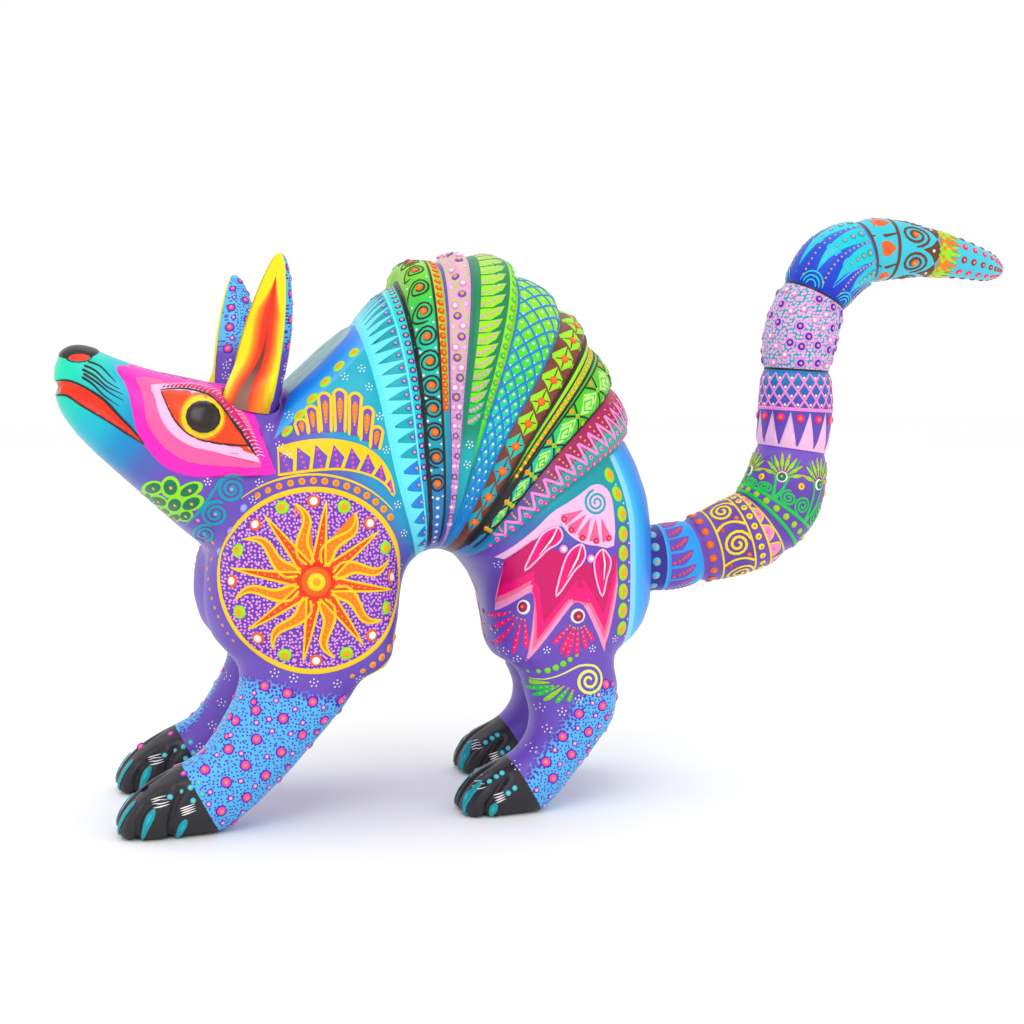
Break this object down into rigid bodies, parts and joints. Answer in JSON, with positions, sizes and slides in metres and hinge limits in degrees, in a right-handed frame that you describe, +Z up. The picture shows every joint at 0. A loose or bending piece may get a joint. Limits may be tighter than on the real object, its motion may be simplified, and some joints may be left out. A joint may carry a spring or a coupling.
{
  "type": "alebrije figure",
  "caption": "Hand-carved and painted wooden armadillo in a bow, with a ribbed shell, plug-in ears and a plug-in curling tail.",
  "frame": {"origin": "bottom centre of the bounding box, on the surface the paws stand on", "axes": "the animal faces -X, +Z is up, its left side is -Y"},
  "size_m": [0.416, 0.1058, 0.2445],
  "materials": {
    "painted_shell": "hand-painted acrylic on carved copal, satin clear coat",
    "painted_head": "hand-painted acrylic on carved copal, satin clear coat",
    "painted_legs": "hand-painted acrylic on carved copal, satin clear coat",
    "painted_ears": "hand-painted acrylic on carved copal, satin clear coat",
    "painted_tail": "hand-painted acrylic on carved copal, satin clear coat",
    "bare_wood": "bare sanded dowel"
  },
  "bodies": {
    "figure": {"torso": "painted_shell", "head": "painted_head", "fore_leg_left": "painted_legs", "fore_leg_right": "painted_legs", "hind_leg_left": "painted_legs", "hind_leg_right": "painted_legs", "neck_dowel": "bare_wood", "fore_dowel_left": "bare_wood", "fore_dowel_right": "bare_wood", "hind_dowel_left": "bare_wood", "hind_dowel_right": "bare_wood"},
    "peg_of_left_ear": {"ear_peg_left": "bare_wood"},
    "peg_of_right_ear": {"ear_peg_right": "bare_wood"},
    "left_ear": {"ear_left": "painted_ears"},
    "right_ear": {"ear_right": "painted_ears"},
    "peg_of_tail": {"tail_peg": "bare_wood"},
    "tail": {"tail": "painted_tail"}
  },
  "joints": [
    {"name": "left_ear_turn", "type": "hinge", "parent": "figure", "child": "peg_of_left_ear", "pos_m": [-0.133, -0.019, 0.1645], "axis": [0.1879, -0.1736, 0.9667], "range_deg": [-20, 20]},
    {"name": "left_ear_pull", "type": "slide", "parent": "peg_of_left_ear", "child": "left_ear", "axis": [0.1879, -0.1736, 0.9667], "range_m": [0, 0.016]},
    {"name": "right_ear_turn", "type": "hinge", "parent": "figure", "child": "peg_of_right_ear", "pos_m": [-0.1365, 0.02, 0.1645], "axis": [0.0687, 0.1736, 0.9824], "range_deg": [-20, 20]},
    {"name": "right_ear_pull", "type": "slide", "parent": "peg_of_right_ear", "child": "right_ear", "axis": [0.0687, 0.1736, 0.9824], "range_m": [0, 0.016]},
    {"name": "tail_turn", "type": "hinge", "parent": "figure", "child": "peg_of_tail", "pos_m": [0.0365, 0, 0.097], "axis": [1, 0, 0], "range_deg": [-120, 120]},
    {"name": "tail_pull", "type": "slide", "parent": "peg_of_tail", "child": "tail", "axis": [1, 0, 0], "range_m": [0, 0.025]}
  ]
}
